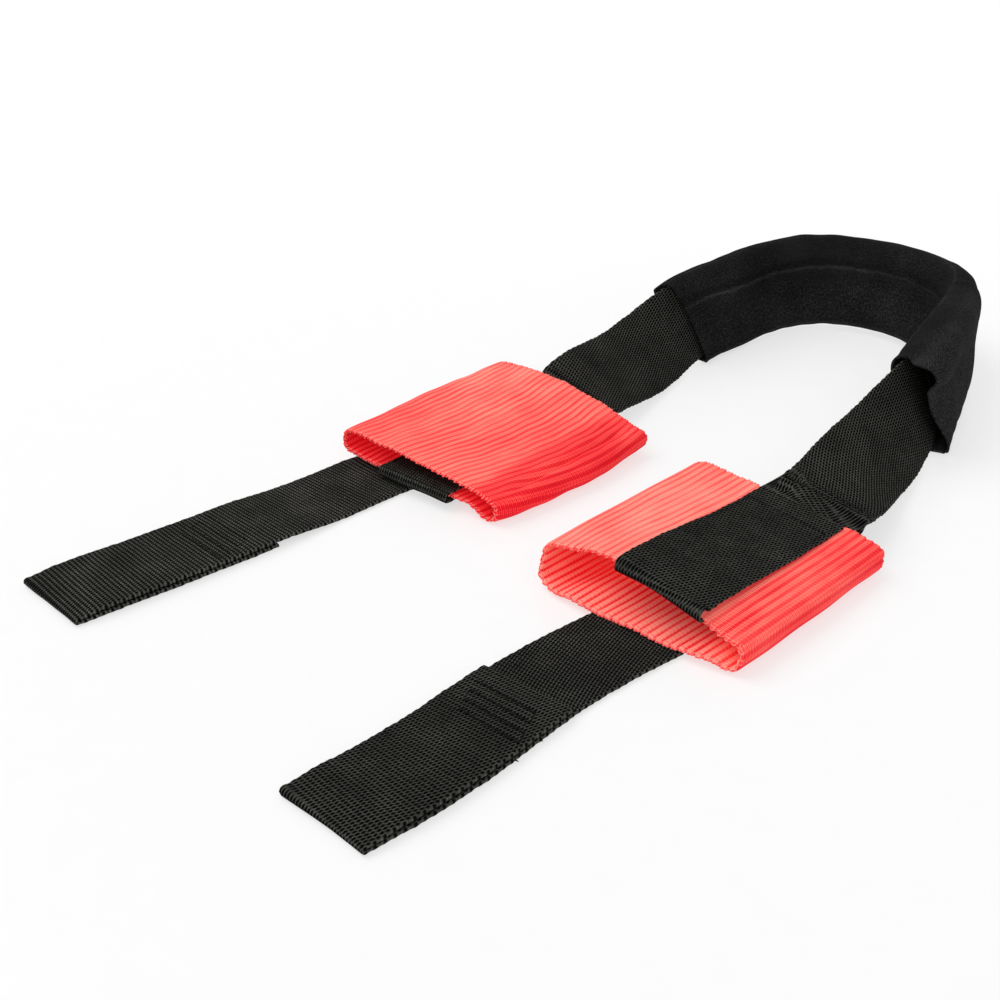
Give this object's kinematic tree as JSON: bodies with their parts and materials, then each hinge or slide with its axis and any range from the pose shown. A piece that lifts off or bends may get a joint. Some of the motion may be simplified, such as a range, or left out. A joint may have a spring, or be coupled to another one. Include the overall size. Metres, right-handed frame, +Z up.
{
  "type": "handlebar tie-down strap harness",
  "caption": "U-shaped webbing harness that lies flat, with a canvas sleeve on its bend, ribbed webbing cuffs on its arms and sewn end loops.",
  "frame": {"origin": "on the surface that the harness lies on, under the middle of its bounding box", "axes": "+Y along the U towards its closed end with the sleeve, +X towards the right arm, +Z up from the surface"},
  "size_m": [0.2823, 0.5905, 0.0589],
  "materials": {
    "black_webbing": "woven polyester webbing, matt with a faint thread sheen",
    "red_webbing": "ribbed woven sling webbing, bright red",
    "black_canvas": "matt plain-weave canvas",
    "black_thread": "bonded sewing thread"
  },
  "bodies": {
    "bridge": {"bridge_strap": "black_webbing"},
    "sleeve_tube": {"sleeve": "black_canvas", "sleeve_left_hem_stitching": "black_thread", "sleeve_right_hem_stitching": "black_thread"},
    "left_arm": {"left_arm_strap": "black_webbing", "left_lead_strap": "black_webbing", "left_seam_stitching": "black_thread"},
    "left_cuff_tube": {"left_cuff": "red_webbing", "left_cuff_binding": "black_webbing", "left_cuff_stitching": "black_thread"},
    "left_tail": {"left_tail_strap": "black_webbing", "left_end_loop": "black_webbing", "left_loop_stitching": "black_thread"},
    "right_arm": {"right_arm_strap": "black_webbing", "right_lead_strap": "black_webbing", "right_seam_stitching": "black_thread"},
    "right_cuff_tube": {"right_cuff": "red_webbing", "right_cuff_binding": "black_webbing", "right_cuff_stitching": "black_thread"},
    "right_tail": {"right_tail_strap": "black_webbing", "right_end_loop": "black_webbing", "right_loop_stitching": "black_thread"}
  },
  "joints": [
    {"name": "sleeve_slide", "type": "hinge", "parent": "bridge", "child": "sleeve_tube", "pos_m": [-0.023, 0.167, 0.03], "axis": [0, 0, 1], "range_deg": [-1, 1]},
    {"name": "left_arm_swing", "type": "hinge", "parent": "bridge", "child": "left_arm", "pos_m": [-0.1066, 0.1253, 0.0215], "axis": [0, 0, 1], "range_deg": [-12, 5]},
    {"name": "left_cuff_lift", "type": "hinge", "parent": "left_arm", "child": "left_cuff_tube", "pos_m": [-0.08839, 0.02718, 0.0283], "axis": [-0.9954, -0.0958, 0], "range_deg": [0, 60]},
    {"name": "left_tail_fold", "type": "hinge", "parent": "left_arm", "child": "left_tail", "pos_m": [-0.11252, -0.105, 0.0012], "axis": [-1, 0.0026, 0], "range_deg": [0, 90]},
    {"name": "right_arm_swing", "type": "hinge", "parent": "bridge", "child": "right_arm", "pos_m": [0.0705, 0.1064, 0.021], "axis": [0, 0, 1], "range_deg": [-5, 12]},
    {"name": "right_cuff_lift", "type": "hinge", "parent": "right_arm", "child": "right_cuff_tube", "pos_m": [0.07574, 0.01589, 0.0253], "axis": [-0.9969, -0.0785, 0], "range_deg": [0, 60]},
    {"name": "right_tail_fold", "type": "hinge", "parent": "right_arm", "child": "right_tail", "pos_m": [0.08889, -0.11899, 0.0012], "axis": [-0.9988, -0.0491, 0], "range_deg": [0, 90]}
  ]
}
